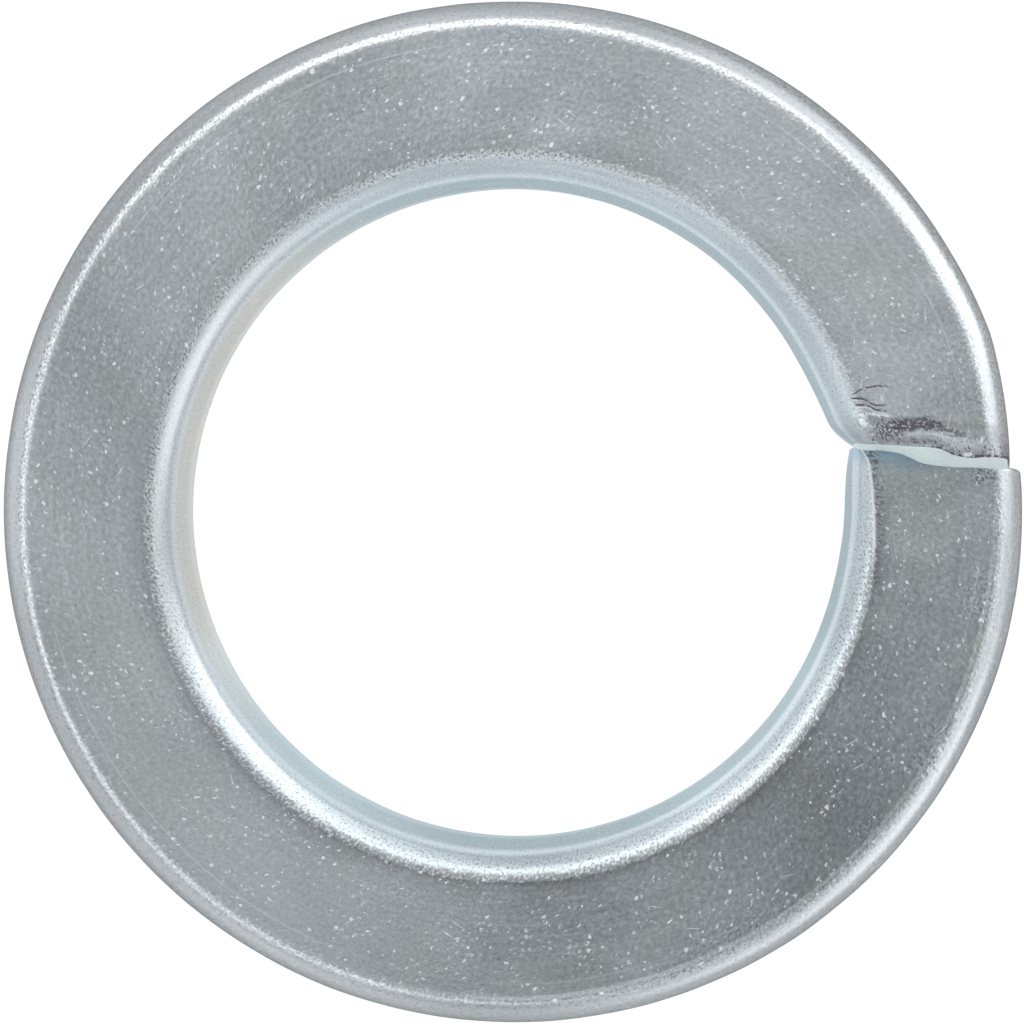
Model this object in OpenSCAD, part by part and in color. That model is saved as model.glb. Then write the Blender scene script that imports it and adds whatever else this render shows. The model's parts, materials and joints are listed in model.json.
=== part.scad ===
/* [Bolt] */
// Nominal diameter of the bolt that passes through the washer
bolt_d = 24; // [20:1:30]
// Clearance all round the bolt in the bore
bore_clearance = 0.5; // [0.2:0.1:1]

/* [Section] */
// Width of the section, from the bore to the rim
section_w = 7; // [5.5:0.25:9]
// Thickness of the section, from the underside to the top face
section_t = 5; // [4.5:0.25:6.5]
// Radius of the four rounded edges
edge_round = 0.95; // [0.5:0.05:1.2]
// Lean of the rim's flank away from upright, where it leaves a rounded edge
rim_lean = 10; // [6:1:16]
// Height of the leaning part of the rim's flank
rim_flank_h = 0.2; // [0.1:0.05:0.4]
// Lean of the bore's flank away from upright, from a rounded edge to the bore
bore_lean = 19; // [10:1:24]
// Height of the upright band in the bore, between its two leaning flanks
bore_land = 1.4; // [0.8:0.1:2]

/* [Coil] */
// Height of the upper end's underside above the lower end's top face
end_lift = 0.8; // [0.3:0.1:1.8]
// Direction of the cut, anticlockwise from the X axis
cut_azimuth = 8; // [0:1:30]
// Slant of the cut away from a radial line, seen from above
cut_slant = 16; // [0:1:25]
// Lean of the end faces away from upright
cut_lean = 5.5; // [0:0.5:8]
// Gap between the two end faces
cut_gap = 0.26; // [0.1:0.02:0.6]

/* [Sheared ends] */
// Depth of the roll-over where the shear pressed the end's face down
roll_depth = 0.45; // [0.1:0.05:0.7]
// Length of the roll-over, back from the end
roll_len = 1.2; // [0.6:0.1:2]
// How far the end's rounded corner at the bore reaches out across the end face
corner_w = 1.1; // [0.4:0.05:1.2]
// How far the end's rounded corner at the bore reaches back along the coil
corner_len = 1.4; // [0.6:0.1:2]
// How far the rim is drawn in at the upper end
draw_in = 0.42; // [0.1:0.02:0.6]
// Length over which the rim is drawn in, back from the upper end
draw_in_len = 4.2; // [2:0.2:6]

/* [Hidden] */

bore_r = bolt_d / 2 + bore_clearance;
rim_r = bore_r + section_w;
mid_r = (bore_r + rim_r) / 2;
coil_len = 2 * PI * mid_r;
coil_rise = section_t + end_lift;

// Rings of points along the coil: a few close together at each end, the others evenly apart
end_stations = 8;
arc_stations = 82;
round_steps = 7;
wall_fn = 180;

// Height of a rounded edge, down to where the leaning flank goes on from it
function round_h(lean) = edge_round * (1 - sin(lean));

// Points from the top face down to half the thickness: a rounded edge, then the flank, which leans
// on past the wall. The wall cuts it to a true cylinder at flank_h below the rounded edge. side is
// 1 at the rim and -1 at the bore
function upper_edge(wall_r, side, lean, flank_h) =
    let (arc_r = wall_r - side * (edge_round * cos(lean) + flank_h * tan(lean)))
    concat(
        [
            for (i = [0 : round_steps])
                let (a = (90 - lean) * i / round_steps)
                [arc_r + side * edge_round * sin(a), section_t - edge_round * (1 - cos(a))]
        ],
        [[
            wall_r + side * tan(lean) * (section_t / 2 - round_h(lean) - flank_h),
            section_t / 2
        ]]
    );

function reversed(list) = [for (i = [len(list) - 1 : -1 : 0]) list[i]];
// The lower half of an edge, from half the thickness down to the underside
function lower_edge(upper) =
    [for (i = [len(upper) - 2 : -1 : 0]) [upper[i][0], section_t - upper[i][1]]];

rim_edge = upper_edge(rim_r, 1, rim_lean, rim_flank_h);
bore_edge =
    upper_edge(bore_r, -1, bore_lean, (section_t - bore_land) / 2 - round_h(bore_lean));

// Outline of the section as [distance from the axis, height above the underside]
section = concat(
    rim_edge,
    lower_edge(rim_edge),
    reversed(concat(bore_edge, lower_edge(bore_edge)))
);
corners = len(section);

// Direction in which an end face crosses the circle of radius r at height z above the underside.
// side is 1 at the upper end and -1 at the lower one
function face_azimuth(r, z, side) =
    let (offset = side * cut_gap / 2 - (section_t / 2 - z) * tan(cut_lean))
    cut_azimuth - cut_slant + asin((mid_r * sin(cut_slant) + offset) / r);

// 1 at an end face, falling to 0 at a distance back from it: in a straight line, as a soft curve,
// or as a quarter of a circle
function taper(distance, reach) = max(0, 1 - distance / reach);
function soft_taper(distance, reach) = pow(taper(distance, reach), 2);
function round_taper(distance, reach) = 1 - sqrt(1 - soft_taper(distance, reach));

// How far a value has come between two others, from 0 to 1
function part_way(value, from, to) = max(0, min(1, (value - from) / (to - from)));

// Where the flat of a face starts, beyond the bore's rounded edge
bore_arris_r = bore_edge[0][0];

// Distance from the axis of a point of the section after the shear. It rounded off the corner at
// the bore, and drew in the rim of the upper end. back is the distance from the end
function sheared_r(r, upper, back) =
    r
    + corner_w * round_taper(back, corner_len) * part_way(r, bore_arris_r, bore_r)
    - (upper
        ? (draw_in + max(0, r - rim_r)) * taper(back, draw_in_len) * part_way(r, mid_r, rim_r)
        : 0);

// How far the shear pressed a point in from its face. face_z is its height towards that face
function rolled(face_z, back) =
    roll_depth * soft_taper(back, roll_len) * part_way(face_z, section_t / 2, section_t);

// Distances along the coil's middle line, from the upper end to the lower one
end_len = max(roll_len, corner_len, draw_in_len);
near_end = [for (i = [0 : end_stations]) end_len * pow(i / end_stations, 2)];
along = concat(
    near_end,
    [for (i = [1 : arc_stations - 1]) end_len + (coil_len - 2 * end_len) * i / arc_stations],
    [for (d = reversed(near_end)) coil_len - d]
);
stations = len(along);

// A corner of the section at a distance along the coil. The shear pressed the upper end down on its
// top face, and the lower end up on its underside
function coil_point(p, distance) =
    let (
        upper = distance < coil_len / 2,
        back = upper ? distance : coil_len - distance,
        r = sheared_r(p[0], upper, back),
        z = upper ? p[1] - rolled(p[1], back) : p[1] + rolled(section_t - p[1], back),
        from = face_azimuth(r, p[1], 1),
        to = face_azimuth(r, p[1], -1) + 360,
        azimuth = from + (to - from) * distance / coil_len
    )
    [
        r * cos(azimuth),
        r * sin(azimuth),
        z + coil_rise * (360 + cut_azimuth - azimuth) / 360
    ];

coil_points = [for (d = along) for (p = section) coil_point(p, d)];
coil_faces = concat(
    [[for (i = [0 : corners - 1]) i]],
    [
        for (k = [0 : stations - 2])
            for (i = [0 : corners - 1])
                let (a = k * corners + i, b = k * corners + (i + 1) % corners)
                each [[a, a + corners, b], [b, a + corners, b + corners]]
    ],
    [[for (i = [corners - 1 : -1 : 0]) (stations - 1) * corners + i]]
);
lowest = min([for (p = coil_points) p[2]]);
highest = max([for (p = coil_points) p[2]]);

// The wire, coiled one turn to the left and sheared off, with its flanks still proud
module coil() {
    polyhedron(points = coil_points, faces = coil_faces, convexity = 4);
}

// The space between the bore and the rim, which gives the coil its true round walls
module walls() {
    rotate([0, 0, cut_azimuth])
        translate([0, 0, lowest - section_t])
            difference() {
                cylinder(r = rim_r, h = highest - lowest + 2 * section_t, $fn = wall_fn);
                translate([0, 0, -section_t])
                    cylinder(r = bore_r, h = highest - lowest + 4 * section_t, $fn = wall_fn);
            }
}

module lock_washer() {
    color([0.64, 0.67, 0.7])
        translate([0, 0, -lowest])
            intersection() {
                coil();
                walls();
            }
}

lock_washer();
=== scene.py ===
"""A spring lock washer, coiled from square-edged steel wire, sheared off and zinc plated.

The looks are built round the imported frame. Each piece has an operator, and a panel in the
3D view's sidebar lists them.
"""

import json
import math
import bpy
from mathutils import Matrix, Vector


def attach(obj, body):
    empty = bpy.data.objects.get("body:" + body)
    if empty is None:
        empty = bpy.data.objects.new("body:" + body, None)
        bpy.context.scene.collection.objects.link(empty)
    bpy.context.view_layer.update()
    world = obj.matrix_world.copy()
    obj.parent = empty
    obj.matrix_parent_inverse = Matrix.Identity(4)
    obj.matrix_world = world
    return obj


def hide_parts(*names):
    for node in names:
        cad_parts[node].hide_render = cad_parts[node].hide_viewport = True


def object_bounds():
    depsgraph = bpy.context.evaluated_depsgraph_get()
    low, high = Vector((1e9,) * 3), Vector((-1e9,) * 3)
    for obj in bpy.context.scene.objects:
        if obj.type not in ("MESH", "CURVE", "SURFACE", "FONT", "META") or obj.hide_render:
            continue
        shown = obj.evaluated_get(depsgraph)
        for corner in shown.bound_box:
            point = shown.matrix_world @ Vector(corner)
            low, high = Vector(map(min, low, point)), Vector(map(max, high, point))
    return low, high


bl_info = {
    "name": "Spring lock washer",
    "version": (1, 0, 0),
    "blender": (4, 5, 0),
    "location": "3D View > Sidebar > Lock washer",
    "description": "Makes a zinc plated spring lock washer and a plain studio round it",
    "category": "Object",
}

from types import SimpleNamespace

import bpy
from bpy.props import (
    FloatProperty,
    FloatVectorProperty,
    IntProperty,
    PointerProperty,
)
from mathutils import Matrix, Vector

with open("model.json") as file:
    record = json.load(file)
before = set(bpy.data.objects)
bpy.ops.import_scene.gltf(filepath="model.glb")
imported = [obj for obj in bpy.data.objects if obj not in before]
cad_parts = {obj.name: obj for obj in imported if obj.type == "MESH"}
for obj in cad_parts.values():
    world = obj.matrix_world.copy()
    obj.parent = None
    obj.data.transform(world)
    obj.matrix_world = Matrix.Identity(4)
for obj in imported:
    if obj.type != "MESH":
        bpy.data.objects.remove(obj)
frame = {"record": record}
CAD_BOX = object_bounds()

MM = 0.001
BORE_R = frame["record"]["mounts"][0]["dims"]["r_mm"] * MM
RIM_R = (CAD_BOX[1].x - CAD_BOX[0].x) / 2


# Node benches

# How far apart two seeds lie in a pattern
SEED_STEP = 17.0


class Flow:
    """A value on its way through a node tree. Sums written with it become Math nodes."""

    def __init__(self, bench, socket):
        self.bench = bench
        self.socket = socket

    def __add__(self, other):
        return self.bench.math("ADD", self, other)

    def __sub__(self, other):
        return self.bench.math("SUBTRACT", self, other)

    def __rsub__(self, other):
        return self.bench.math("SUBTRACT", other, self)

    def __mul__(self, other):
        return self.bench.math("MULTIPLY", self, other)

    def __truediv__(self, other):
        return self.bench.math("DIVIDE", self, other)

    def __neg__(self):
        return self.bench.math("MULTIPLY", self, -1.0)

    __radd__ = __add__
    __rmul__ = __mul__


class Bench:
    """Adds nodes to a tree, in columns from left to right."""

    COLUMN = 14

    def __init__(self, tree):
        self.tree = tree
        self.made = 0

    def node(self, kind, feeds=None, **settings):
        node = self.tree.nodes.new(kind)
        node.location = (190 * (self.made // self.COLUMN), -170 * (self.made % self.COLUMN))
        self.made += 1
        for name, value in settings.items():
            setattr(node, name, value)
        for name, value in (feeds or {}).items():
            self.feed(node.inputs[name], value)
        return node

    def feed(self, socket, value):
        if isinstance(value, Flow):
            value = value.socket
        if isinstance(value, bpy.types.NodeSocket):
            self.tree.links.new(value, socket)
        else:
            socket.default_value = value

    def math(self, operation, *values, clamp=False):
        node = self.node("ShaderNodeMath", operation=operation, use_clamp=clamp)
        for socket, value in zip(node.inputs, values):
            self.feed(socket, value)
        return Flow(self, node.outputs[0])

    def clamp(self, value):
        return self.math("ADD", value, 0.0, clamp=True)

    def pick(self, mask, off, on):
        """off where mask is 0, and on where it is 1"""
        return self.math("MULTIPLY_ADD", mask, on - off, off)

    def ramp(self, value, start, end):
        """A soft step from 0 at start to 1 at end"""
        node = self.node(
            "ShaderNodeMapRange",
            {"Value": value, "From Min": start, "From Max": end},
            interpolation_type="SMOOTHSTEP",
        )
        return Flow(self, node.outputs["Result"])

    def added(self, first, second):
        node = self.node("ShaderNodeVectorMath", operation="ADD")
        self.feed(node.inputs[0], first)
        self.feed(node.inputs[1], second)
        return Flow(self, node.outputs["Vector"])

    def scaled(self, vector, factor):
        node = self.node(
            "ShaderNodeVectorMath", {"Vector": vector, "Scale": factor}, operation="SCALE"
        )
        return Flow(self, node.outputs["Vector"])

    def vector(self, x, y, z):
        node = self.node("ShaderNodeCombineXYZ", {"X": x, "Y": y, "Z": z})
        return Flow(self, node.outputs["Vector"])

    def split(self, vector):
        node = self.node("ShaderNodeSeparateXYZ", {"Vector": vector})
        return [Flow(self, node.outputs[axis]) for axis in "XYZ"]

    def moved(self, vector, seed):
        """A place far along, so that each seed meets another part of a pattern"""
        step = seed * SEED_STEP
        way = self.vector(step, step, step) if isinstance(seed, Flow) else (step, step, step)
        return self.added(vector, way)

    def noise(self, vector, per_mm, seed, detail=1.0, roughness=0.5, dimensions="2D"):
        """Noise from 0 to 1, whose patches are about 1 / per_mm millimetres wide"""
        node = self.node(
            "ShaderNodeTexNoise",
            {
                "Vector": self.moved(vector, seed),
                "Scale": per_mm,
                "Detail": detail,
                "Roughness": roughness,
            },
            noise_dimensions=dimensions,
        )
        return Flow(self, node.outputs[0])

    def mix(self, share, first, second):
        """The first colour where share is 0, and the second where it is 1"""
        node = self.node("ShaderNodeMix", data_type="RGBA")
        # A Mix node has a socket of each name for each kind of data; these are the colours
        for at, value in ((0, share), (6, first), (7, second)):
            self.feed(node.inputs[at], value)
        return Flow(self, node.outputs[2])

    def line(self, value, knots, low, high):
        """A smooth line through knots. value runs from 0 to 1, and heights from low to high"""
        node = self.node("ShaderNodeFloatCurve", {"Value": value})
        curve = node.mapping.curves[0]
        for at, height in knots[1:-1]:
            curve.points.new(at, (height - low) / (high - low))
        for end, (at, height) in ((0, knots[0]), (-1, knots[-1])):
            curve.points[end].location = (at, (height - low) / (high - low))
        node.mapping.update()
        return Flow(self, node.outputs["Value"]) * (high - low) + low


# The coiled washer

# Edges of the sheared end face, as [share of the way from bore to rim, shift in millimetres]
TOP_EDGE = [
    (0.0, -0.07),
    (0.17, -0.11),
    (0.27, -0.05),
    (0.43, 0.05),
    (0.57, 0.12),
    (0.64, -0.04),
    (0.70, -0.08),
    (0.81, 0.03),
    (0.94, 0.16),
    (1.0, 0.18),
]
LOW_EDGE = [
    (0.0, 0.02),
    (0.16, 0.06),
    (0.31, 0.18),
    (0.41, 0.05),
    (0.51, -0.13),
    (0.62, -0.10),
    (0.83, 0.05),
    (1.0, 0.04),
]
EDGE_LOW, EDGE_HIGH = -0.25, 0.25
# Rows of points in each cap and in the rounded arris beside it, and how much more closely than
# the others the rows next to them lie
CAP_ROWS = 14
ARRIS_ROWS = 4
END_CROWDING = 0.6
EDGE_POINTS = 16
# Points that lie closer together than this become one
MERGE_DISTANCE = 0.002 * MM
# How far on each side of the bore's arris the shear shifted the surface, and how far back from
# each end it did so
ARRIS_REACH = 0.9 * MM
LOWER_ARRIS_LEN = 0.9 * MM
UPPER_ARRIS_LEN = 1.8 * MM
# How far the wear reaches onto the face from the bore's arris, and how far the torn edges reach
# back from the upper end
WEAR_REACH = 1.5 * MM
TORN_REACH = 1.5 * MM
# Where the bore's edge is worn wider: opposite the upper end between two soft steps, and close
# to it. A step runs from one share of the way round to another
WORN_HALF = ((0.42, 0.54), (0.99, 0.93))
WORN_START = (0.22, 0.10)

COIL_INPUTS = [
    ("bore_r", "Bore radius"),
    ("rim_r", "Rim radius"),
    ("thickness", "Thickness"),
    ("edge_round", "Rim edge radius"),
    ("bore_round", "Bore edge radius"),
    ("bore_lean", "Lean of the bore's flanks"),
    ("bore_land", "Upright band in the bore"),
    ("end_lift", "Lift between the ends"),
    ("cut_azimuth", "Direction of the cut"),
    ("cut_slant", "Slant of the cut"),
    ("cut_lean", "Lean of the end faces"),
    ("cut_gap", "Gap between the ends"),
    ("roll_depth", "Depth of the roll-over"),
    ("roll_len", "Length of the roll-over"),
    ("upper_corner_w", "Width of the upper end's corner"),
    ("upper_corner_len", "Length of the upper end's corner"),
    ("upper_flare_w", "Width of the upper end's flare"),
    ("upper_flare_len", "Length of the upper end's flare"),
    ("upper_arris_out", "Shift of the upper end's arris"),
    ("lower_corner_w", "Width of the lower end's corner"),
    ("lower_corner_len", "Length of the lower end's corner"),
    ("lower_flare_w", "Width of the lower end's flare"),
    ("lower_flare_len", "Length of the lower end's flare"),
    ("lower_arris_in", "Shift of the lower end's arris"),
    ("bore_wear", "Wear of the bore's edge"),
    ("draw_in", "Draw-in of the rim"),
    ("draw_in_len", "Length of the draw-in"),
    ("arris", "Arris round the end faces"),
    ("waviness", "Waviness of the surfaces"),
    ("stations", "Stations along the coil"),
    ("section_points", "Points round the section"),
    ("seed", "Seed"),
]


def coil_tree():
    """The node tree of the washer: rows of points along the coil, capped at both ends"""
    tree = bpy.data.node_groups.new("Coiled washer", "GeometryNodeTree")
    b = Bench(tree)
    defined = WasherSizes.bl_rna.properties
    for name, label in COIL_INPUTS:
        kind = "NodeSocketInt" if defined[name].type == "INT" else "NodeSocketFloat"
        tree.interface.new_socket(label, in_out="INPUT", socket_type=kind)
    tree.interface.new_socket("Finish", in_out="INPUT", socket_type="NodeSocketMaterial")
    tree.interface.new_socket("Washer", in_out="OUTPUT", socket_type="NodeSocketGeometry")
    given = b.node("NodeGroupInput")
    size = {name: Flow(b, given.outputs[label]) for name, label in COIL_INPUTS}

    grid = b.node(
        "GeometryNodeMeshGrid",
        {
            "Size X": 1.0,
            "Size Y": 1.0,
            "Vertices X": size["stations"],
            "Vertices Y": size["section_points"],
        },
    )
    gx, gy, _ = b.split(b.node("GeometryNodeInputPosition").outputs[0])

    # Rows of the grid: a cap, a rounded arris, the coil, an arris and a cap
    last = size["stations"] - 1.0
    row = (gx + 0.5) * last
    from_end = b.math("MINIMUM", row, last - row)
    upper = b.math("LESS_THAN", gx, 0.0)
    turn = (1.0 - b.clamp((from_end - CAP_ROWS) / ARRIS_ROWS)) * (math.pi / 2)
    inset = size["arris"] * (1.0 - b.math("COSINE", turn))
    lead = size["arris"] * (1.0 - b.math("SINE", turn))
    share = b.math("MAXIMUM", from_end - (CAP_ROWS + ARRIS_ROWS), 0.0) / (
        last - 2.0 * (CAP_ROWS + ARRIS_ROWS)
    )
    share = share - b.math("SINE", share * (2 * math.pi)) * (END_CROWDING / (2 * math.pi))
    mid_r = (size["bore_r"] + size["rim_r"]) * 0.5
    coil_len = mid_r * (2 * math.pi)
    back = lead + (coil_len - 2.0 * size["arris"]) * share
    distance = b.pick(upper, coil_len - back, back)
    cap = b.clamp(1.0 - from_end / CAP_ROWS)

    # The section: a bar with rounded edges, drawn in towards its middle over the caps
    width = size["rim_r"] - size["bore_r"]
    half_t = size["thickness"] * 0.5
    bar = b.node(
        "GeometryNodeCurvePrimitiveQuadrilateral",
        {"Width": width, "Height": size["thickness"]},
    )
    corner_x = b.split(b.node("GeometryNodeInputPosition").outputs[0])[0]
    rounded = b.node(
        "GeometryNodeFilletCurve",
        {
            "Curve": bar.outputs[0],
            "Count": EDGE_POINTS,
            "Radius": b.pick(
                b.math("GREATER_THAN", corner_x, 0.0), size["bore_round"], size["edge_round"]
            ),
        },
        mode="POLY",
    )
    sampled = b.node(
        "GeometryNodeSampleCurve",
        {"Curves": rounded.outputs[0], "Factor": gy + 0.5},
        mode="FACTOR",
        use_all_curves=True,
    )
    sx, sy, _ = b.split(sampled.outputs["Position"])
    keep = 1.0 - cap
    sx = sx * keep * (1.0 - inset / (width * 0.5))
    sy = sy * keep * (1.0 - inset / half_t)
    bulge = b.math("MAXIMUM", b.math("ABSOLUTE", sy) - size["bore_land"] * 0.5, 0.0)
    inward = b.clamp(-sx / (width * 0.5 - size["bore_round"]))
    lean = bulge * b.math("TANGENT", size["bore_lean"]) * inward
    r0 = mid_r + sx + lean
    h0 = sy + half_t

    # The shear: it rounds the corner at the bore, draws in the rim of the upper end and presses
    # the upper end down on its top face, the lower one up on its underside
    def taper(reach):
        return b.math("MAXIMUM", 1.0 - back / reach, 0.0)

    def power(value, exponent):
        return b.math("POWER", value, exponent)

    flank_h = half_t - size["bore_land"] * 0.5
    flat_r = size["bore_r"] + size["bore_round"] + flank_h * b.math("TANGENT", size["bore_lean"])
    at_bore = b.clamp((flat_r - r0) / (flat_r - size["bore_r"]))
    at_arris = b.clamp(1.0 - b.math("ABSOLUTE", r0 - flat_r) / ARRIS_REACH)
    at_rim = b.clamp((r0 - mid_r) / (size["rim_r"] - mid_r))

    def wall_shift(end):
        """A corner close to the end face, and a long slight flare behind it"""
        corner = size[end + "_corner_w"] * power(taper(size[end + "_corner_len"]), 2.0)
        return corner + size[end + "_flare_w"] * power(taper(size[end + "_flare_len"]), 2.0)

    arris_shift = b.pick(
        upper,
        -size["lower_arris_in"] * power(taper(LOWER_ARRIS_LEN), 2.0),
        size["upper_arris_out"] * power(taper(UPPER_ARRIS_LEN), 2.0),
    )
    bore_shift = b.pick(upper, wall_shift("lower"), wall_shift("upper"))
    r = r0 + bore_shift * at_bore + arris_shift * at_arris
    r = r - upper * size["draw_in"] * taper(size["draw_in_len"]) * at_rim

    # The bore's edge is worn wider close to the upper end, and in the half opposite it
    trip = distance / coil_len
    worn = b.ramp(trip, *WORN_HALF[0]) * b.ramp(trip, *WORN_HALF[1]) + b.ramp(trip, *WORN_START)
    on_edge = b.clamp((r0 - flat_r) / size["bore_round"] + 1.0)
    on_edge = on_edge * b.clamp(1.0 - (r0 - flat_r) / WEAR_REACH)
    r = r + size["bore_wear"] * worn * on_edge
    roll = taper(size["roll_len"])
    to_face = b.pick(upper, size["thickness"] - h0, h0)
    pressed = size["roll_depth"] * roll * roll * b.clamp((to_face - half_t) / half_t)
    z = h0 + b.pick(upper, pressed, -pressed)

    # Where each point lies round the coil, between the slanted and leaning end faces
    def face_azimuth(side):
        offset = size["cut_gap"] * (0.5 * side) - (half_t - h0) * b.math("TANGENT", size["cut_lean"])
        across = (mid_r * b.math("SINE", size["cut_slant"]) + offset) / r
        return size["cut_azimuth"] - size["cut_slant"] + b.math("ARCSINE", across)

    start = face_azimuth(1)
    azimuth = start + (face_azimuth(-1) + 2 * math.pi - start) * (distance / coil_len)
    along_r = b.clamp((r - size["bore_r"]) / width)
    up = b.clamp(h0 / size["thickness"])
    top = b.line(along_r, TOP_EDGE, EDGE_LOW, EDGE_HIGH)
    low = b.line(along_r, LOW_EDGE, EDGE_LOW, EDGE_HIGH)
    torn = b.pick(up, low, top) * MM
    near = taper(TORN_REACH)
    azimuth = azimuth + torn * near * near * upper / r
    rise = size["thickness"] + size["end_lift"]
    climb = rise * (2 * math.pi + size["cut_azimuth"] - azimuth) / (2 * math.pi)
    x = r * b.math("COSINE", azimuth)
    y = r * b.math("SINE", azimuth)
    here = b.scaled(b.vector(x, y, z + climb), 1 / MM)
    wave_r = (b.noise(here, 0.45, size["seed"], dimensions="3D") - 0.5) * size["waviness"]
    wave_z = (b.noise(here, 0.4, size["seed"] + 7.0, dimensions="3D") - 0.5) * size["waviness"]
    r = r + wave_r
    placed = b.vector(r * b.math("COSINE", azimuth), r * b.math("SINE", azimuth), z + climb + wave_z)

    bent = b.node("GeometryNodeSetPosition", {"Geometry": grid.outputs["Mesh"], "Position": placed})
    washer = bent.outputs[0]
    marks = {
        "coil": b.scaled(b.vector(distance, r0, h0), 1 / MM),
        "ends": b.vector(back / MM, b.math("GREATER_THAN", cap, 0.0), upper),
    }
    # The marks are worked out on the flat grid, so they are kept before the points move
    source = grid.outputs["Mesh"]
    for name, value in marks.items():
        stored = b.node(
            "GeometryNodeStoreNamedAttribute",
            {"Geometry": source, "Name": name, "Value": value},
            data_type="FLOAT_VECTOR",
            domain="POINT",
        )
        source = stored.outputs[0]
    tree.links.new(source, bent.inputs["Geometry"])
    box = b.node("GeometryNodeBoundBox", {"Geometry": washer})
    low_z = b.split(box.outputs["Min"])[2]
    settled = b.node(
        "GeometryNodeSetPosition", {"Geometry": washer, "Offset": b.vector(0.0, 0.0, -low_z)}
    )
    closed = b.node(
        "GeometryNodeMergeByDistance",
        {"Geometry": settled.outputs[0], "Distance": MERGE_DISTANCE},
    )
    smooth = b.node(
        "GeometryNodeSetShadeSmooth", {"Geometry": closed.outputs[0], "Shade Smooth": True}
    )
    real = b.node("GeometryNodeRealizeInstances", {"Geometry": smooth.outputs[0]})
    finished = b.node(
        "GeometryNodeSetMaterial",
        {"Geometry": real.outputs[0], "Material": given.outputs["Finish"]},
    )
    b.node("NodeGroupOutput", {"Washer": finished.outputs[0]})
    return tree


def made_by_nodes(name, tree, values):
    """A plain mesh object made by a Geometry Nodes tree, with values by the inputs' names"""
    seed_mesh = bpy.data.meshes.new(name)
    piece = bpy.data.objects.new(name, seed_mesh)
    bpy.context.scene.collection.objects.link(piece)
    modifier = piece.modifiers.new("Nodes", "NODES")
    modifier.node_group = tree
    for item in tree.interface.items_tree:
        if item.in_out == "INPUT":
            modifier[item.identifier] = values[item.name]
    graph = bpy.context.evaluated_depsgraph_get()
    mesh = bpy.data.meshes.new_from_object(piece.evaluated_get(graph))
    piece.modifiers.remove(modifier)
    piece.data = mesh
    mesh.name = name
    # The nodes leave an empty slot in front of the one that is used
    mesh.materials.clear()
    mesh.materials.append(values["Finish"])
    bpy.data.meshes.remove(seed_mesh)
    if not mesh.polygons:
        raise RuntimeError(f"{name} came out empty")
    return piece


# The zinc plating

WHITE = (1.0, 1.0, 1.0, 1.0)
# White of the light marks, also used for the painted highlight along the rim's arris
LIGHT_MARK_AND_HIGHLIGHT = (0.88, 0.94, 0.97, 1.0)
# White of the burrs and chips at the ends, also used for painted highlights along edges and creases there
BURR_AND_HIGHLIGHT = (0.89, 0.96, 0.99, 1.0)
# What a wall's reflections are tinted with, outside its cream part
WALL_TINT = (0.86, 0.97, 1.0, 1.0)
# Radii in millimetres between which the rim's half of the section gives way to the bore's
HALVES = (16.0, 15.0)
# Strength of the finest grain
FINE_GRAIN = 0.30
# Radius of the faint ring in the faces, in millimetres
RING_R = 17.93
# How far back from an end its own marks reach, in millimetres
NEAR_END = 6.0
# Stretches of the coil that look different, each as the two soft steps between which it lies. A
# step runs from one share of the way round to another, and 0 is the upper end
STRETCHES = {
    "worn_half": ((0.42, 0.54), (1.0, 0.95)),
    "back_left": ((0.13, 0.20), (0.53, 0.47)),
    "cream": ((0.26, 0.36), (0.60, 0.50)),
    # Where the rim's edges get painted shade
    "dull_rim": ((0.26, 0.33), (0.45, 0.38)),
    # Where the bore's walls get painted light
    "lit_wall": ((0.50, 0.55), (0.70, 0.62)),
    "late": ((0.68, 0.78), (1.0, 0.96)),
    # Where the bore's edges get a painted glint
    "glint": ((0.77, 0.82), (0.92, 0.88)),
}
FIRST_STRETCH = (0.20, 0.14)

# Marks of the shear in the upper end's top face, as places [x, y] in millimetres: its creases,
# drawn as lines of painted shade, and the white lip beside them, a painted highlight
CREASES = [
    [(13.10, 4.62), (13.50, 4.86), (13.94, 4.96), (14.51, 4.94)],
    [(13.06, 4.52), (13.51, 4.49), (13.99, 4.26), (14.43, 4.30)],
    [(13.21, 4.26), (13.60, 4.26), (13.99, 4.10), (14.47, 4.04)],
]
LIP = [(13.62, 3.97), (14.14, 3.89), (14.62, 3.85)]
# White chips, as [middle, size]
CORNER_CHIP = ((13.53, 3.76), (0.25, 0.38))
EDGE_CHIP = ((17.38, 2.42), (0.26, 0.10))
# The scuffed band runs between two values of x. Its middle is a value of y, and it and the half
# width go with the share of the way from the bore to the rim
SCUFF_X = (13.8, 17.9)
SCUFF_MIDDLE = [
    (0, 3.42),
    (0.17, 3.45),
    (0.34, 3.52),
    (0.49, 3.60),
    (0.61, 3.47),
    (0.73, 3.27),
    (0.85, 3.12),
    (1, 2.95),
]
SCUFF_HALF = [
    (0, 0.45),
    (0.2, 0.50),
    (0.34, 0.36),
    (0.5, 0.36),
    (0.61, 0.30),
    (0.73, 0.2),
    (0.85, 0.14),
    (1, 0.1),
]
# Darkest parts of the band, as [middle, size, strength]
SMEARS = [
    ((14.45, 3.40), (0.75, 0.55), 0.65),
    ((15.6, 3.58), (1.2, 0.5), 1.0),
    ((16.9, 3.22), (0.9, 0.3), 0.5),
]
# The chafed corner of the lower end at the rim, as [middle, size]
CHAFED_CORNER = ((18.0, 1.55), (0.6, 0.45))


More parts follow.
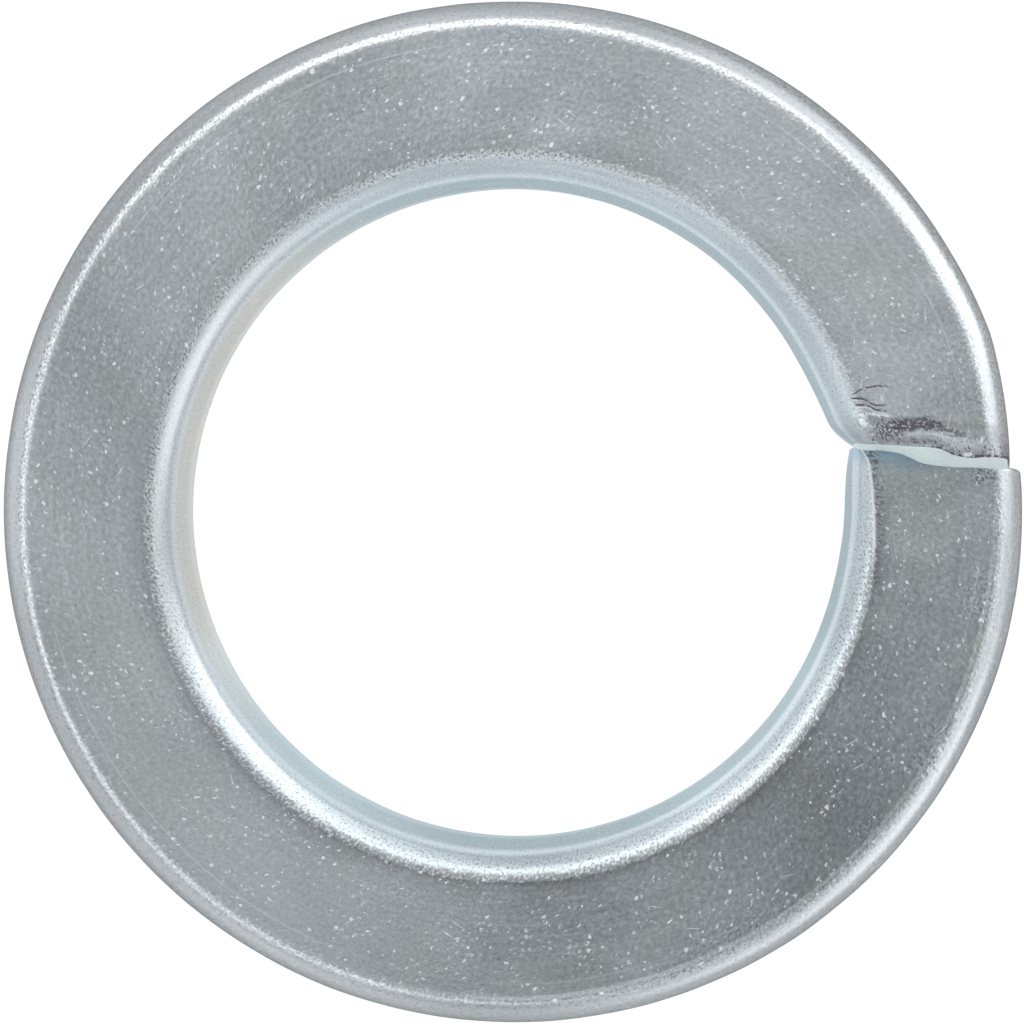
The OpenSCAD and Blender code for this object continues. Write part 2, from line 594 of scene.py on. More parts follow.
def specks_of(b, place, radius, share, seed, crowd):
    """Spots of up to a radius in mm, 1 at their middles. share is the part of all places that hold
    one, which crowd raises or lowers from place to place"""
    cells = b.node(
        "ShaderNodeTexVoronoi",
        {"Vector": b.moved(place, seed), "Scale": 0.4 / radius},
        voronoi_dimensions="2D",
    )
    luck, size, strength = b.split(cells.outputs["Color"])
    reach = b.pick(size * size, 0.16, 0.39)
    spot = b.ramp(Flow(b, cells.outputs["Distance"]), reach, reach * 0.5)
    present = b.math("GREATER_THAN", luck + crowd, 1.0 - share)
    return spot * present * b.pick(strength * strength, 0.3, 1.0)


def scratches(b, place, turn, length, width, share, seed):
    """Thin straight scratches, of a length and a width in mm, all turned the same way"""
    x, y, _ = b.split(place)
    c, s = math.cos(math.radians(turn)), math.sin(math.radians(turn))
    along = (x * c + y * s) / length
    across = (y * c - x * s) / width
    cells = b.node(
        "ShaderNodeTexVoronoi",
        {"Vector": b.moved(b.vector(along, across, 0.0), seed), "Scale": 0.5},
        voronoi_dimensions="2D",
    )
    luck = b.split(cells.outputs["Color"])[0]
    line = b.ramp(Flow(b, cells.outputs["Distance"]), 0.25, 0.1)
    return line * b.math("GREATER_THAN", luck, 1.0 - share)


def stroke(b, x, y, knots, width):
    """A line of a width in mm through knots [x, y], fading out at both ends"""
    start, end = knots[0][0], knots[-1][0]
    low, high = min(at[1] for at in knots) - 0.1, max(at[1] for at in knots) + 0.1
    share = b.clamp((x - start) / (end - start))
    middle = b.line(share, [((at[0] - start) / (end - start), at[1]) for at in knots], low, high)
    inked = b.ramp(b.math("ABSOLUTE", y - middle), width * 0.75, width * 0.25)
    return inked * b.ramp(x, start - 0.05, start + 0.1) * b.ramp(x, end + 0.05, end - 0.25)


def blot(b, x, y, middle, size):
    """A soft oval spot, 1 at its middle. middle and size are in mm"""
    u, v = (x - middle[0]) / size[0], (y - middle[1]) / size[1]
    return b.ramp(u * u + v * v, 1.0, 0.1)


def near_line(b, offset, outer, inner):
    """1 on a line and 0 away from it. offset is the distance from the line"""
    return b.ramp(b.math("ABSOLUTE", offset), outer, inner)


def wire_places(b, sizes):
    """Where a point lies on the wire, in millimetres, from the attributes that its mesh carries"""
    wire = SimpleNamespace()
    coil = Flow(b, b.node("ShaderNodeAttribute", attribute_name="coil").outputs["Vector"])
    ends = Flow(b, b.node("ShaderNodeAttribute", attribute_name="ends").outputs["Vector"])
    wire.distance, wire.r0, wire.h0 = b.split(coil)
    wire.back, wire.end_face, wire.upper = b.split(ends)
    wire.half_t = sizes.thickness / MM / 2
    wire.depth = wire.half_t - b.math("ABSOLUTE", wire.h0 - wire.half_t)
    flank_h = wire.half_t - sizes.bore_land / MM / 2
    bore_arris = (sizes.bore_r + sizes.bore_round) / MM + flank_h * math.tan(sizes.bore_lean)
    wire.from_bore = wire.r0 - bore_arris
    wire.from_rim = wire.r0 - (sizes.rim_r - sizes.edge_round) / MM
    wire.inner = b.ramp(wire.r0, *HALVES)

    trip = wire.distance / (math.pi * (sizes.bore_r + sizes.rim_r) / MM)
    for name, (rise, fall) in STRETCHES.items():
        setattr(wire, name, b.ramp(trip, *rise) * b.ramp(trip, *fall))
    wire.first = b.ramp(trip, *FIRST_STRETCH)

    # A flat map of the wire's skin: along the coil, and across the top face, down both walls and
    # on under it. An end face has its own, which is drawn out upwards as the shear left it
    across = wire.r0 + wire.depth * b.pick(wire.inner, 1.0, -1.0)
    in_bore = b.math("LESS_THAN", wire.r0, bore_arris)
    rim_turn = 2 * sizes.rim_r / MM + 2 * wire.half_t
    bore_turn = 2 * sizes.bore_r / MM - 2 * wire.half_t
    turned = b.pick(in_bore, rim_turn, bore_turn)
    across = b.pick(b.math("LESS_THAN", wire.h0, wire.half_t), across, turned - across)
    wire.along = b.pick(wire.end_face, wire.distance, wire.r0 * 2.0)
    wire.across = b.pick(wire.end_face, across, wire.h0 * 0.4)
    wire.skin = b.vector(wire.along, wire.across, 0.0)
    return wire


def add_patterns(b, wire, seed):
    """Broad patches, marks of the rolling, fine grain, and the parts of the section that have
    ragged borders by it"""
    wire.clouds = b.noise(wire.skin, 0.16, seed)
    wire.hue = b.noise(wire.skin, 0.22, seed + 5)
    wire.rolled = b.noise(b.vector(wire.along * 0.12, wire.across * 4.0, 0.0), 1.0, seed + 1)
    wire.grain = b.noise(wire.skin, 5.0, seed + 2)
    wire.ragged = b.noise(wire.skin, 2.2, seed + 3, 2.0, 0.65)
    wire.fine = b.noise(wire.skin, 9.0, seed + 4)
    wire.jag = wire.ragged - 0.5
    wire.light_bits = b.ramp(wire.fine, 0.56, 0.63)
    wire.dark_bits = b.ramp(wire.fine, 0.44, 0.37)

    # Flat faces, rounded edges, the walls between them, and the outer part of the rim, which gets
    # painted shade
    side = 1.0 - wire.end_face
    wire.edge = b.ramp(wire.depth + wire.jag * 0.06, 0.0, 0.06)
    wire.face = (1.0 - wire.edge) * side
    wire.wall = b.ramp(wire.depth + wire.jag * 0.1, 0.60, 0.95) * side
    wire.outside = (1.0 - wire.inner) * b.ramp(wire.depth, 0.12, 0.36) * side


def add_marks(b, wire, seed):
    """Light and dark marks all over the wire, and a painted highlight along the rim's arris"""
    # A dotted line on the bore's arris, a ragged painted highlight along the rim's arris with pits in
    # it and outside it, and the ring in the face
    wire.bore_line = near_line(b, wire.from_bore + 0.10 + wire.jag * 0.3, 0.22, 0.06)
    rim_highlight = near_line(b, wire.from_rim + wire.late * 0.10 + 0.02 + wire.jag * 0.16, 0.12, 0.04)
    rim_pits = near_line(b, wire.from_rim - 0.10 + wire.jag * 0.24, 0.22, 0.08)
    ring_line = near_line(b, wire.r0 - RING_R + (wire.clouds - 0.5) * 0.1, 0.05, 0.0)
    ring_line = ring_line * b.ramp(wire.rolled, 0.45, 0.6) * wire.face

    # Scruffy patches on the face close to the rim, specks in crowds, and scratches
    scruffy = b.ramp(wire.from_rim + wire.jag * 1.2, -1.3, -0.1) * wire.face * b.ramp(wire.hue, 0.50, 0.62)
    scruffy = scruffy * b.pick(wire.late, 0.2, 0.8)
    crowd = (b.noise(wire.skin, 0.45, seed + 6) - 0.5) * 1.5
    loose = b.added(wire.skin, b.scaled(b.vector(wire.fine, wire.grain, 0.0), 0.20))
    wire.specks = specks_of(b, loose, radius=0.10, share=0.36, seed=seed + 7, crowd=crowd)
    wire.nicks = scratches(b, wire.skin, turn=24, length=0.9, width=0.05, share=0.006, seed=seed)

    wire.light_marks = b.clamp(
        wire.specks * b.pick(wire.edge, 0.9, 0.3)
        + wire.nicks * 0.6
        + scruffy * wire.light_bits * 0.45
        + ring_line * 0.35
        # Painted highlight along the rim's arris, brighter in some stretches
        + rim_highlight * b.pick(wire.back_left, wire.light_bits * 0.3 + 0.15 + wire.late * 0.5, 0.38)
        + rim_pits * wire.light_bits * b.pick(wire.back_left, 0.2, 0.5)
        + wire.bore_line * wire.light_bits * b.pick(wire.worn_half, 0.25, 0.55)
    )
    wire.dark_marks = b.clamp(
        wire.bore_line * wire.dark_bits * b.pick(wire.back_left, 0.25, 0.8)
        + rim_pits * wire.dark_bits * b.pick(wire.back_left, 0.25, 0.55)
        + scruffy * wire.dark_bits * 0.5
        + wire.edge * wire.worn_half * wire.inner * wire.dark_bits * b.ramp(wire.depth, 0.5, 0.1) * 0.4
        + wire.edge * b.ramp(wire.fine, 0.30, 0.24) * 0.45
        + wire.first * wire.outside * b.ramp(wire.fine, 0.56, 0.44) * 0.45
    )


def opaque(colour_value):
    return (*colour_value, 1.0)


def steel_shade(b, wire, finish):
    """How light or dark the plating is, round 1, with painted light and shade on some edges and walls"""
    beside_bore = b.ramp(wire.from_bore + wire.jag * 0.6, 1.1, 0.1) * b.pick(wire.worn_half, 0.5, 1.0)
    bore_shadow = b.ramp(wire.from_bore + wire.jag * 0.2, 0.35, 0.05) * wire.worn_half
    return (
        1.0
        + (wire.clouds - 0.5) * finish.clouds
        + (wire.rolled - 0.5) * finish.rolling_marks
        + (wire.grain - 0.5) * finish.grain
        + (wire.fine - 0.5) * FINE_GRAIN
        - beside_bore * wire.face * 0.16
        - bore_shadow * wire.face * 0.16
        # Painted shade on the outer part of the rim
        - wire.outside * 0.34
        # Painted highlight on the bore's edges in one stretch of the coil
        + wire.edge * wire.inner * wire.glint * 0.22
        # Painted light on the bore's walls in one stretch of the coil
        + wire.wall * wire.inner * wire.lit_wall * 0.22
        # Painted shade on the rim's edges in one stretch of the coil
        - wire.edge * (1.0 - wire.inner) * (1.0 - wire.outside) * wire.dull_rim * 0.22
        - wire.end_face * b.ramp(wire.r0, 15.5, 17.0) * 0.12
    )


def steel_colours(b, wire, finish):
    """Colour of the plating with its marks, painted highlights and painted shade"""
    cool = b.mix(b.ramp(wire.hue, 0.35, 0.65), opaque(finish.face_colour), opaque(finish.cloud_colour))
    walls = b.mix(wire.cream, opaque(finish.wall_colour), opaque(finish.cream_colour))
    cool_bore = wire.inner * (1.0 - wire.cream)
    edges = b.mix(cool_bore, opaque(finish.edge_colour), opaque(finish.bore_edge_colour))
    edges = b.mix(wire.wall, edges, walls)
    steel = b.mix(b.clamp(wire.edge + wire.end_face), cool, edges)
    # The end faces' near-white colour is partly painted light
    steel = b.mix(wire.end_face, steel, opaque(finish.end_colour_and_light))
    steel = b.scaled(steel, steel_shade(b, wire, finish))
    steel = b.mix(wire.dark_marks, steel, opaque(finish.pit_colour))
    return b.mix(wire.light_marks, steel, LIGHT_MARK_AND_HIGHLIGHT)


def upper_end_marks(b, wire, x, y, top):
    """Dark and light marks of the upper end: a scuffed band, white chips and a torn edge. Its creases
    and rolled-over tip get painted shade, and lines beside the creases painted highlights
    """
    share = b.clamp((x - SCUFF_X[0]) / (SCUFF_X[1] - SCUFF_X[0]))
    middle = b.line(share, SCUFF_MIDDLE, 2.8, 3.8)
    half = b.line(share, SCUFF_HALF, 0.0, 0.6)
    inside = 1.0 - b.math("ABSOLUTE", y - middle + wire.jag * 0.3) / half
    inside = b.ramp(inside, -0.15, 0.6) * b.ramp(x, 13.75, 13.95) * b.ramp(x, 18.0, 17.3)
    smear = b.clamp(sum(blot(b, x, y, place, size) * dark for place, size, dark in SMEARS))
    mottled = smear * 0.9 + (0.5 - wire.fine) * 1.6 + (0.5 - wire.grain) * 0.3 + 0.05
    scuff = inside * b.clamp(mottled)
    fray = b.ramp(wire.back, 0.75, 0.15) * b.ramp(x, 13.6, 13.9) * wire.dark_bits
    fray = fray * b.ramp(wire.grain, 0.6, 0.45)
    # Painted shade: dark lines where the face is creased
    creases = sum(stroke(b, x, y, knots, 0.075) for knots in CREASES)
    creases = b.clamp(creases * b.ramp(wire.grain, 0.28, 0.42))
    # Painted shade on the rolled-over tip
    shaded_roll_over = b.ramp(wire.back, 1.0, 0.2)
    # Painted highlights: the white lip beside the creases and the light line beside the third one; the
    # chips are white burrs
    lip = (
        stroke(b, x, y, LIP, 0.08)
        + blot(b, x, y, *CORNER_CHIP) * b.ramp(wire.fine, 0.38, 0.48)
        + blot(b, x, y, *EDGE_CHIP)
        + stroke(b, x, y + 0.10, CREASES[2], 0.06) * 0.7
        + inside * wire.light_bits * 0.25
    )
    torn_edge = b.ramp(wire.back, 0.13, 0.04) * (1.0 - wire.end_face) * wire.upper
    torn_dark = torn_edge * top * b.ramp(wire.r0, 16.2, 16.7) * b.ramp(wire.grain, 0.35, 0.5)
    torn_light = torn_edge * b.ramp(wire.h0, wire.half_t, wire.half_t - 1.5)
    dark = b.clamp(scuff * 0.95 + creases + fray * 0.7 + shaded_roll_over * 0.30)
    return wire.upper * top * dark + torn_dark, wire.upper * top * lip + torn_light


def lower_end_marks(b, wire, x, y, top):
    """Dark and light marks of the lower end: cuts beside the bore, a painted highlight along the
    arris and a chafed corner at the rim"""
    lower = 1.0 - wire.upper
    cuts = b.ramp(b.math("SINE", y * 24.0 + wire.ragged * 16.0), 0.0, 0.8)
    cuts = cuts * b.ramp(wire.grain, 0.38, 0.48)
    cuts = cuts * b.ramp(wire.from_bore + wire.jag * 0.5, 0.75, 0.2) * b.ramp(wire.from_bore, -0.05, 0.03)
    chafed = blot(b, x, y, *CHAFED_CORNER) * lower * top
    # Painted highlight along the lower end's arris at the bore
    arris = lower * near_line(b, wire.from_bore + 0.03, 0.09, 0.03) * b.ramp(wire.back, NEAR_END, 4.0)
    dark = lower * top * cuts * 0.75 + chafed * wire.dark_bits * 0.8
    return dark, chafed * wire.light_bits * 0.8 + arris * 0.6


def zinc_plating(finish, sizes):
    """The material: plated steel with clouds, rolling marks, specks, pits and scratches, and painted light
    and shade
    """
    material = bpy.data.materials.new("zinc_plating")
    material.use_nodes = True
    tree = material.node_tree
    tree.nodes.clear()
    b = Bench(tree)
    wire = wire_places(b, sizes)
    add_patterns(b, wire, finish.seed)
    add_marks(b, wire, finish.seed)

    rough = b.pick(b.clamp(wire.edge + wire.bore_line), finish.face_roughness, finish.edge_roughness)
    rough = b.pick(wire.end_face, rough, finish.end_roughness)
    rough = rough + (wire.clouds - 0.5) * 0.06 + (wire.grain - 0.5) * 0.06
    tint = b.mix(wire.wall * (1.0 - wire.cream), WHITE, WALL_TINT)
    # Painted shade: the reflections of the rim's outer part are dimmed
    tint = b.scaled(tint, 1.0 - wire.outside * 0.5)
    height = (wire.grain - 0.5) * 0.5 + (wire.fine - 0.5) * 0.5 + wire.rolled * 0.5
    bump = b.node("ShaderNodeBump", {"Height": height, "Strength": 1.0, "Distance": finish.relief})
    # The specks are dull and white, and the end faces nearly so, their near-white colour being partly
    # painted light
    dull = b.clamp(wire.specks + wire.nicks * 0.5) * wire.face * 0.6
    bare = (1.0 - wire.end_face) * (1.0 - dull)

    def plated(colour_flow, roughness):
        return b.node(
            "ShaderNodeBsdfPrincipled",
            {
                "Base Color": colour_flow,
                "Metallic": bare,
                "Specular Tint": tint,
                "Roughness": roughness,
                "Normal": bump.outputs["Normal"],
            },
        )

    steel = steel_colours(b, wire, finish)
    plain = plated(steel, rough)

    # Close to the ends the same plating has the marks of the shear, and a painted reflection of the
    # upper end, with shade, at the lower end's edge. A shader of its own shows them
    here = b.scaled(b.node("ShaderNodeTexCoord").outputs["Object"], 1 / MM)
    x, y, _ = b.split(here)
    x, y = x + (wire.fine - 0.5) * 0.12, y + (wire.grain - 0.5) * 0.08
    top = b.ramp(wire.h0, wire.half_t, wire.half_t + 1.5) * (1.0 - wire.end_face)
    upper_marks_and_shade, upper_burrs_and_highlights = upper_end_marks(b, wire, x, y, top)
    lower_dark, lower_wear_and_highlight = lower_end_marks(b, wire, x, y, top)
    painted_reflection_edge = (1.0 - wire.upper) * top * b.ramp(wire.back, 1.1, 0.0) * b.ramp(wire.r0, 16.6, 15.2)
    end_marks_and_shade = b.clamp(upper_marks_and_shade + lower_dark)
    end_steel = b.mix(painted_reflection_edge, steel, opaque(finish.reflection_and_shade_colour))
    end_steel = b.mix(end_marks_and_shade, end_steel, opaque(finish.scuff_and_shade_colour))
    end_steel = b.mix(b.clamp(upper_burrs_and_highlights + lower_wear_and_highlight), end_steel, BURR_AND_HIGHLIGHT)
    marked = plated(end_steel, rough + end_marks_and_shade * 0.12)

    surface = b.node("ShaderNodeMixShader", {"Fac": b.math("LESS_THAN", wire.back, NEAR_END)})
    tree.links.new(plain.outputs[0], surface.inputs[1])
    tree.links.new(marked.outputs[0], surface.inputs[2])
    b.node("ShaderNodeOutputMaterial", {"Surface": surface.outputs[0]})
    return material


# The stage

# Brightness of the floor as the camera and the reflections see it, the grey that shows a faint
# shadow on it, and the grey that lights the washer from below
FLOOR_GLOW = 0.93
SHADOW_GREY = 0.15
PAPER_GREY = 0.8
# How far the camera stands from straight above, to the right and to the back, in degrees
CAMERA_TURN, CAMERA_TIP = 4.8505, 1.2493
# The place that it looks at: its height, and its shift to the right and upwards in the picture
AIM_HEIGHT = 5.4 * MM
AIM_SHIFT = (-0.04 * MM, 0.144 * MM)
SENSOR_WIDTH = 36


def grey(brightness):
    return (brightness, brightness, brightness, 1.0)


def floor_material():
    material = bpy.data.materials.new("white_floor")
    material.use_nodes = True
    tree = material.node_tree
    tree.nodes.clear()
    b = Bench(tree)
    rays = b.node("ShaderNodeLightPath")
    seen = Flow(b, rays.outputs["Is Camera Ray"]) + Flow(b, rays.outputs["Is Glossy Ray"])
    seen = b.clamp(seen + Flow(b, rays.outputs["Is Transmission Ray"]))
    glow = b.node("ShaderNodeEmission", {"Color": WHITE, "Strength": FLOOR_GLOW})
    paper = b.node("ShaderNodeBsdfDiffuse", {"Color": grey(PAPER_GREY)})
    lit = b.node("ShaderNodeAddShader")
    tree.links.new(glow.outputs[0], lit.inputs[0])
    dim = b.node("ShaderNodeBsdfDiffuse", {"Color": grey(SHADOW_GREY)})
    tree.links.new(dim.outputs[0], lit.inputs[1])
    shown = b.node("ShaderNodeMixShader", {"Fac": seen})
    tree.links.new(paper.outputs[0], shown.inputs[1])
    tree.links.new(lit.outputs[0], shown.inputs[2])
    below = b.node("ShaderNodeNewGeometry").outputs["Backfacing"]
    under = b.node("ShaderNodeMixShader", {"Fac": below})
    tree.links.new(shown.outputs[0], under.inputs[1])
    tree.links.new(b.node("ShaderNodeBsdfTransparent").outputs[0], under.inputs[2])
    b.node("ShaderNodeOutputMaterial", {"Surface": under.outputs[0]})
    return material


# Middle of the dark patch over the table
PATCH_MIDDLE = Vector((0.07, 0.01, 1.0)).normalized()
# Light of the studio, as [angle from the dark patch's middle in degrees, brightness]
STUDIO_LIGHT = [
    (0, 0.27),
    (6, 0.11),
    (8.5, 0.62),
    (10, 0.78),
    (14, 0.56),
    (17, 0.20),
    (19, 0.19),
    (22, 0.40),
    (25, 0.42),
    (29, 0.27),
    (34, 0.22),
    (39, 0.15),
    (46, 0.18),
    (54, 0.70),
    (66, 0.68),
    (72, 0.65),
    (80, 0.70),
    (100, 0.70),
]
# Softboxes round the table, as [name, direction in degrees, brightness]
LOW_SOFTBOXES = [
    ("Key softbox", 30, 2.0),
    ("Back softbox", 60, 0.53),
    ("Left back softbox", 120, 0.29),
    ("Left softbox", 180, 0.30),
    ("Left front softbox", 240, 0.25),
    ("Front softbox", 300, 0.61),
    ("Right front softbox", 330, 1.06),
]
HIGH_SOFTBOXES = [
    ("High right softbox", 0, 0.74),
    ("High back softbox", 60, 1.80),
    ("High left back softbox", 120, 2.15),
    ("High left softbox", 180, 0.98),
    ("High left front softbox", 240, 0.94),
    ("High right front softbox", 300, 0.41),
]


def studio_world(stage):
    """Plain soft light from all round. The camera itself sees white"""
    world = bpy.data.worlds.new("Studio")
    bpy.context.scene.world = world
    world.use_nodes = True
    tree = world.node_tree
    tree.nodes.clear()
    b = Bench(tree)
    way = Flow(b, b.node("ShaderNodeTexCoord").outputs["Generated"])
    x, y, z = b.split(way)
    x, y, z = x * PATCH_MIDDLE.x, y * PATCH_MIDDLE.y, z * PATCH_MIDDLE.z
    reach, peak = STUDIO_LIGHT[-1][0], max(height for at, height in STUDIO_LIGHT)
    tilt = b.math("ARCCOSINE", x + y + z) / math.radians(reach)
    light = b.line(b.clamp(tilt), [(at / reach, height) for at, height in STUDIO_LIGHT], 0.0, peak)
    light = light * stage.studio_light
    rays = b.node("ShaderNodeLightPath")
    light = b.pick(Flow(b, rays.outputs["Is Camera Ray"]), light, 1.0)
    back = b.node("ShaderNodeBackground", {"Color": WHITE, "Strength": light})
    b.node("ShaderNodeOutputWorld", {"Surface": back.outputs[0]})


def softbox(name, azimuth, elevation, across, tall, brightness, reach):
    """An area lamp of a set brightness that points at the middle of the washer"""
    data = bpy.data.lights.new(name, "AREA")
    data.shape = "RECTANGLE"
    data.size, data.size_y = across, tall
    data.energy = math.pi * across * tall * brightness
    lamp = bpy.data.objects.new(name, data)
    a = math.radians(azimuth)
    level = math.cos(elevation)
    way = Vector((math.cos(a) * level, math.sin(a) * level, math.sin(elevation)))
    lamp.location = way * reach
    lamp.rotation_euler = (-way).to_track_quat("-Z", "Y").to_euler()
    bpy.context.scene.collection.objects.link(lamp)


# Settings


def length(name, about, default):
    return FloatProperty(
        name=name, description=about, default=default, unit="LENGTH", subtype="DISTANCE", precision=5
    )


def angle(name, about, degrees):
    return FloatProperty(
        name=name,
        description=about,
        default=math.radians(degrees),
        unit="ROTATION",
        subtype="ANGLE",
    )


def colour(name, about, default):
    return FloatVectorProperty(
        name=name, description=about, default=default, subtype="COLOR", min=0, max=1
    )


class WasherSizes(bpy.types.PropertyGroup):
    """Sizes of the washer"""

    bore_r: length("Bore radius", "Radius of the hole for the bolt", BORE_R)
    rim_r: length("Rim radius", "Radius of the outside", RIM_R)
    thickness: length("Thickness", "Thickness of the wire", 5 * MM)
    edge_round: length("Rim edge radius", "Radius of the two edges at the rim", 0.95 * MM)
    bore_round: length("Bore edge radius", "Radius of the two edges at the bore", 0.71 * MM)
    bore_lean: angle("Bore lean", "Lean of the bore's flanks away from upright", 19)
    bore_land: length("Bore land", "Height of the upright band in the bore", 1.4 * MM)
    end_lift: length("End lift", "Height of the upper end above the lower one", 0.8 * MM)
    cut_azimuth: angle("Cut direction", "Direction of the cut from the X axis", 8)
    cut_slant: angle("Cut slant", "Slant of the cut away from a radial line", 16)
    cut_lean: angle("End face lean", "Lean of the end faces away from upright", 5.5)
    cut_gap: length("Cut gap", "Gap between the two end faces", 0.26 * MM)
    roll_depth: length("Roll-over depth", "Depth to which the shear pressed the face", 0.3 * MM)
    roll_len: length("Roll-over length", "Length of the pressed part", 1.2 * MM)
    upper_corner_w: length("Upper corner width", "Reach of the corner across the end", 0.58 * MM)
    upper_corner_len: length("Upper corner length", "Reach of the corner along the coil", 1.0 * MM)
    upper_flare_w: length("Upper flare width", "How far the bore opens behind it", 0.28 * MM)
    upper_flare_len: length("Upper flare length", "Length over which it opens", 4.6 * MM)
    upper_arris_out: length("Upper arris", "Shift of the arris at the corner", 0.42 * MM)
    lower_corner_w: length("Lower corner width", "Reach of the corner across the end", 0.3 * MM)
    lower_corner_len: length("Lower corner length", "Reach of the corner along the coil", 2.6 * MM)
    lower_flare_w: length("Lower flare width", "How far the bore opens behind it", 0.34 * MM)
    lower_flare_len: length("Lower flare length", "Length over which it opens", 11 * MM)
    lower_arris_in: length("Lower arris", "Shift of the arris at the corner", 0.42 * MM)
    bore_wear: length("Bore wear", "Extra width of the worn part of the bore's edge", 0.17 * MM)
    draw_in: length("Draw-in", "How far the rim is drawn in at the upper end", 0.42 * MM)
    draw_in_len: length("Draw-in length", "Length over which the rim is drawn in", 4.2 * MM)
    arris: length("End arris", "Radius of the edges round the end faces", 0.1 * MM)
    waviness: length("Waviness", "Height of the surfaces' soft waves", 0.04 * MM)
    stations: IntProperty(name="Stations", description="Rows of points along the coil", default=700)
    section_points: IntProperty(
        name="Section points", description="Points round the section", default=133
    )
    seed: IntProperty(name="Seed", description="Seed of the soft waves", default=3)


class ZincFinish(bpy.types.PropertyGroup):
    """Colour and texture of the plating"""

    face_colour: colour("Face colour", "Colour of the flat faces", (0.560, 0.608, 0.624))
    cloud_colour: colour("Cloud colour", "Colour of broad patches on the faces", (0.550, 0.603, 0.642))
    # The edges are lighter and the walls darker than the faces: partly the plating's own tone, partly
    # painted light and shade
    edge_colour: colour("Edge colour", "Colour of the rim's rounded edges", (0.575, 0.615, 0.645))
    bore_edge_colour: colour("Bore edge", "Colour of the bore's rounded edges", (0.600, 0.680, 0.732))
    wall_colour: colour("Wall colour", "Colour of the bore's and the rim's walls", (0.385, 0.460, 0.488))
    cream_colour: colour("Cream colour", "Colour of the walls at the left", (0.520, 0.535, 0.520))
    # Near white, which is partly painted light on the sheared end faces
    end_colour_and_light: colour("End colour", "Colour of the sheared end faces", (0.860, 0.985, 0.985))
    pit_colour: colour("Pit colour", "Colour of the fine pits", (0.230, 0.225, 0.225))
    # Colour of the scuffs, also used for the painted shade in the upper end's creases and rolled-over tip
    scuff_and_shade_colour: colour("Scuff colour", "Colour of the scuffs on the upper end", (0.120, 0.115, 0.135))
    # Painted reflection of the upper end's wall, and shade, on the lower end beside its edge
    reflection_and_shade_colour: colour("Cool shade", "Colour beside the lower end's edge", (0.370, 0.510, 0.610))
    face_roughness: FloatProperty(
        name="Face roughness", description="Roughness of the flat faces", default=0.23
    )
    edge_roughness: FloatProperty(
        name="Edge roughness", description="Roughness of the edges and the walls", default=0.36
    )
    end_roughness: FloatProperty(
        name="End roughness", description="Roughness of the sheared end faces", default=0.45
    )
    clouds: FloatProperty(name="Clouds", description="Strength of the soft patches", default=0.16)
    rolling_marks: FloatProperty(
        name="Rolling marks", description="Strength of the marks along the coil", default=0.12
    )
    grain: FloatProperty(name="Grain", description="Strength of the fine grain", default=0.18)
    relief: length("Relief", "Height of the grain and the marks", 0.003 * MM)
    seed: IntProperty(name="Seed", description="Seed of the patterns", default=11)


class StageSettings(bpy.types.PropertyGroup):
    """The floor, the lights and the camera"""

    floor_size: length("Floor size", "Width of the white floor", 1.2)
    studio_light: FloatProperty(
        name="Studio light", description="Strength of the light from all round", default=1.0
    )
    softbox_width: length("Softbox width", "Width of each softbox", 0.3)
    softbox_reach: length("Softbox reach", "Distance of the softboxes from the washer", 0.6)
    low_height: length("Low softbox height", "Height of each low softbox", 0.5)
    low_elevation: angle("Low softbox elevation", "Height of the low softboxes as an angle", 32)
    high_height: length("High softbox height", "Height of each high softbox", 0.2)
    high_elevation: angle("High softbox elevation", "Height of the high softboxes as an angle", 62)
    camera_reach: length("Camera reach", "Distance of the camera from the washer", 196.4 * MM)
    view_width: length("View width", "Width of the view at the washer", 39.38 * MM)


# Operators


class LOCKWASHER_OT_washer(bpy.types.Operator):
    """Make the coiled washer with its zinc plating"""

    bl_idname = "lockwasher.washer"
    bl_label = "Coiled washer"

    def execute(self, context):
        sizes = context.scene.washer_sizes
        values = {label: getattr(sizes, name) for name, label in COIL_INPUTS}
        values["Finish"] = zinc_plating(context.scene.zinc_finish, sizes)
        washer = made_by_nodes("coiled_washer", coil_tree(), values)
        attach(washer, "root")
        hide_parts("lock_washer")
        return {"FINISHED"}


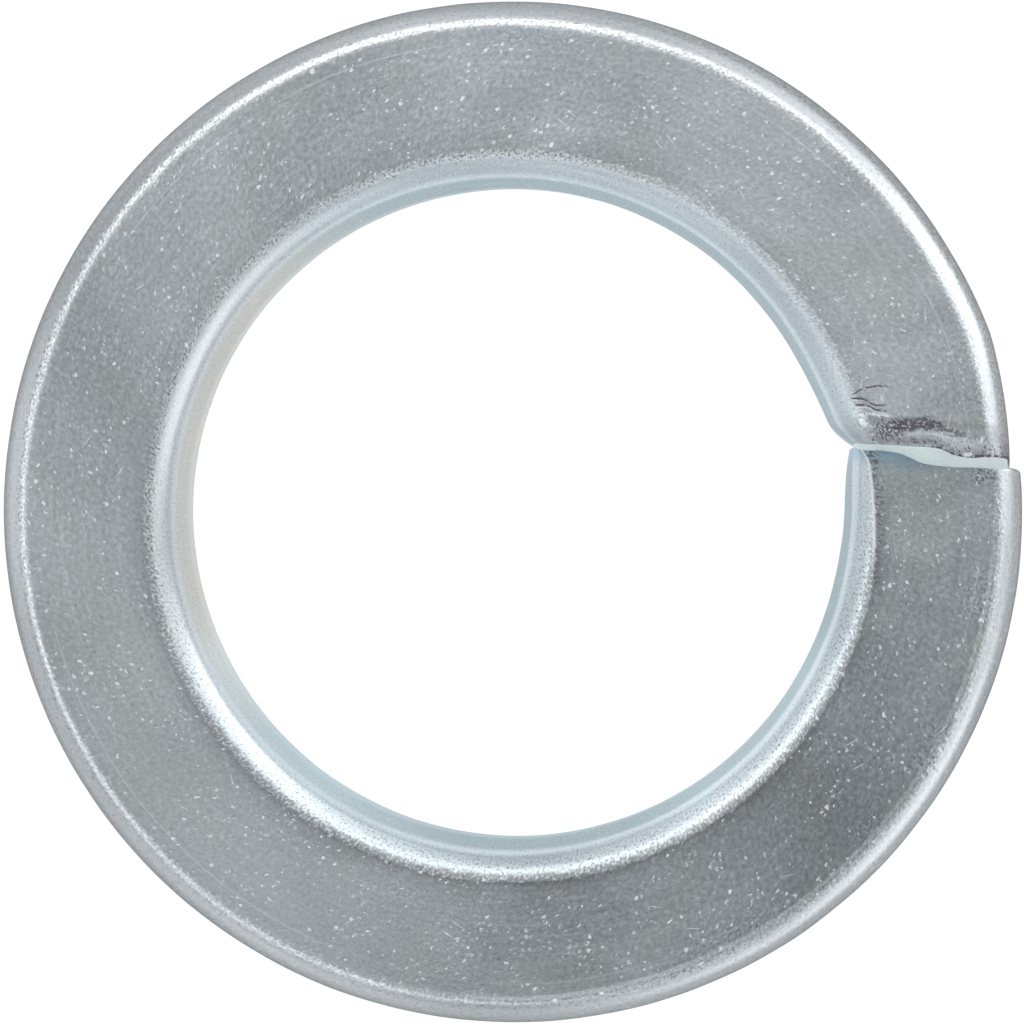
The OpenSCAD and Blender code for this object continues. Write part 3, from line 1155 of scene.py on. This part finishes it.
class LOCKWASHER_OT_stage(bpy.types.Operator):
    """Lay the white floor, light the studio and set up the camera"""

    bl_idname = "lockwasher.stage"
    bl_label = "Floor, lights and camera"

    def execute(self, context):
        scene = context.scene
        stage = scene.stage_settings
        half = stage.floor_size / 2
        mesh = bpy.data.meshes.new("white_floor")
        corners = [(-half, -half, 0), (half, -half, 0), (half, half, 0), (-half, half, 0)]
        mesh.from_pydata(corners, [], [(0, 1, 2, 3)])
        floor = bpy.data.objects.new("white_floor", mesh)
        mesh.materials.append(floor_material())
        scene.collection.objects.link(floor)

        studio_world(stage)
        across, reach = stage.softbox_width, stage.softbox_reach
        for boxes, elevation, tall in (
            (LOW_SOFTBOXES, stage.low_elevation, stage.low_height),
            (HIGH_SOFTBOXES, stage.high_elevation, stage.high_height),
        ):
            for name, azimuth, brightness in boxes:
                softbox(name, azimuth, elevation, across, tall, brightness, reach)

        # The camera looks almost straight down, from a little to the right and to the back
        camera = bpy.data.objects.new("Camera", bpy.data.cameras.new("Camera"))
        turn, tip = math.radians(CAMERA_TURN), math.radians(CAMERA_TIP)
        right = Vector((math.cos(turn), 0, -math.sin(turn)))
        up = Vector((-math.sin(turn) * math.sin(tip), math.cos(tip), -math.cos(turn) * math.sin(tip)))
        back = right.cross(up)
        target = Vector((0, 0, AIM_HEIGHT)) + right * AIM_SHIFT[0] + up * AIM_SHIFT[1]
        place = Matrix((right, up, back)).transposed().to_4x4()
        place.translation = target + back * stage.camera_reach
        camera.matrix_world = place
        camera.data.sensor_width = SENSOR_WIDTH
        camera.data.lens = SENSOR_WIDTH * stage.camera_reach / stage.view_width
        camera.data.clip_start = 10 * MM
        scene.collection.objects.link(camera)
        scene.camera = camera
        scene.view_settings.view_transform = "Standard"
        return {"FINISHED"}


class LOCKWASHER_PT_panel(bpy.types.Panel):
    """The sizes, the finish and the operators"""

    bl_label = "Lock washer"
    bl_idname = "LOCKWASHER_PT_panel"
    bl_space_type = "VIEW_3D"
    bl_region_type = "UI"
    bl_category = "Lock washer"

    def draw(self, context):
        layout = self.layout
        scene = context.scene
        for title, group, operator in (
            ("Washer", scene.washer_sizes, LOCKWASHER_OT_washer),
            ("Plating", scene.zinc_finish, None),
            ("Stage", scene.stage_settings, LOCKWASHER_OT_stage),
        ):
            box = layout.box()
            box.label(text=title)
            for name in group.__annotations__:
                box.prop(group, name)
            if operator:
                box.operator(operator.bl_idname)


CLASSES = (
    WasherSizes,
    ZincFinish,
    StageSettings,
    LOCKWASHER_OT_washer,
    LOCKWASHER_OT_stage,
    LOCKWASHER_PT_panel,
)


def register():
    for thing in CLASSES:
        bpy.utils.register_class(thing)
    bpy.types.Scene.washer_sizes = PointerProperty(type=WasherSizes)
    bpy.types.Scene.zinc_finish = PointerProperty(type=ZincFinish)
    bpy.types.Scene.stage_settings = PointerProperty(type=StageSettings)


def unregister():
    del bpy.types.Scene.stage_settings
    del bpy.types.Scene.zinc_finish
    del bpy.types.Scene.washer_sizes
    for thing in reversed(CLASSES):
        bpy.utils.unregister_class(thing)


def main():
    register()
    bpy.ops.lockwasher.washer()
    bpy.ops.lockwasher.stage()


if __name__ == "__main__":
    main()
